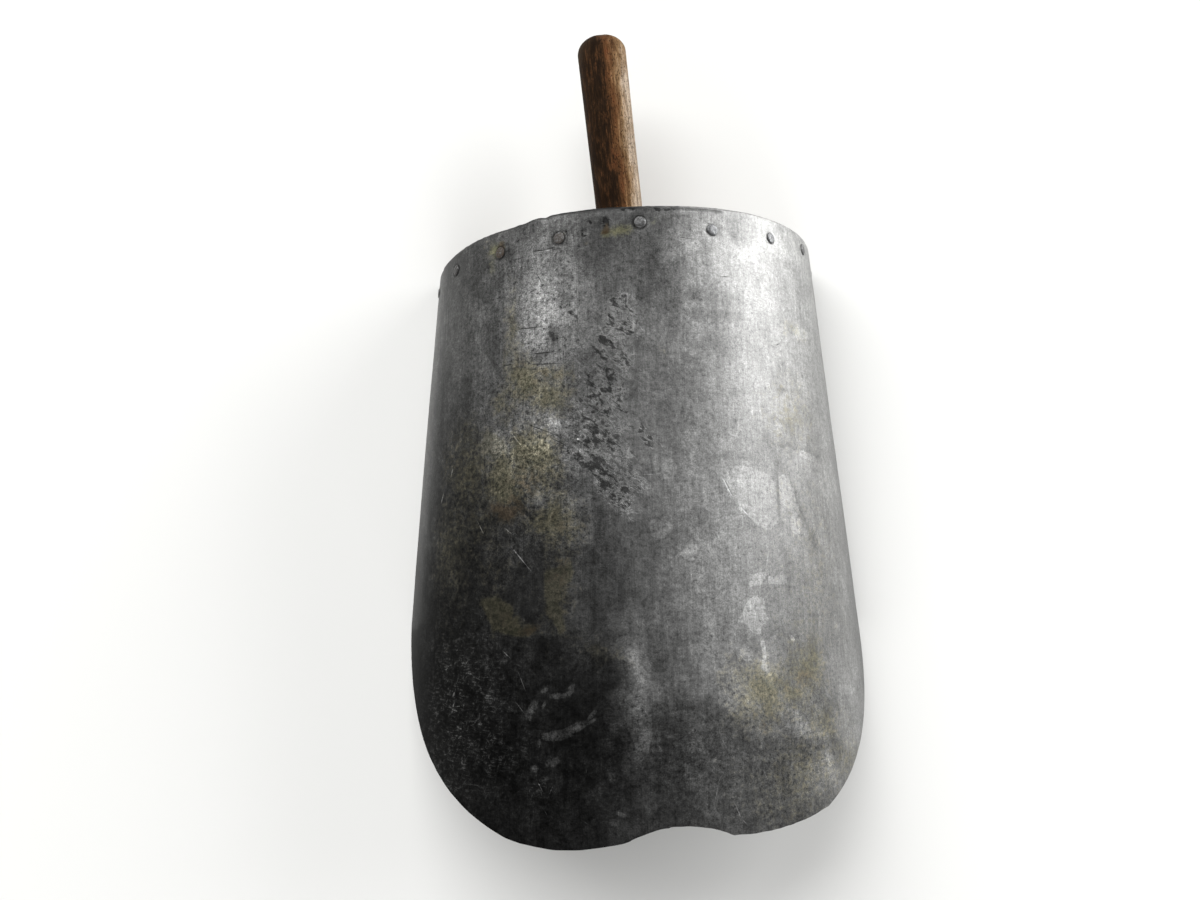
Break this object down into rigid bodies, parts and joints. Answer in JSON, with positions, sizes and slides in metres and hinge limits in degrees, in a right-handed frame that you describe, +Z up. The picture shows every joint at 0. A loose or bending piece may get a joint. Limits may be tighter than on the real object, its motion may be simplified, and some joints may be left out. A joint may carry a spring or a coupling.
{
  "type": "grain scoop",
  "caption": "Hand grain scoop: sheet metal bent round a half-round wooden back board and nailed to it, with a round wooden handle wedged through the board.",
  "frame": {"origin": "middle of the back board's straight lower edge, halfway through its thickness, on the surface that the scoop stands on", "axes": "+Z up, away from the surface that the scoop stands on open side down; +Y from the mouth towards the handle; +X across the scoop, to the right when seen from the mouth"},
  "size_m": [0.2764, 0.4785, 0.1202],
  "materials": {
    "sheet_metal": "worn galvanised sheet, dull grey with stains",
    "board_wood": "bare old softwood, greyed",
    "handle_wood": "dark, hand-polished hardwood",
    "wedge_wood": "bare hardwood",
    "nail_iron": "grey, partly rusted"
  },
  "bodies": {
    "root": {"scoop_sheet": "sheet_metal", "back_board": "board_wood", "handle": "handle_wood", "handle_wedge": "wedge_wood", "rim_nails": "nail_iron"}
  },
  "joints": []
}
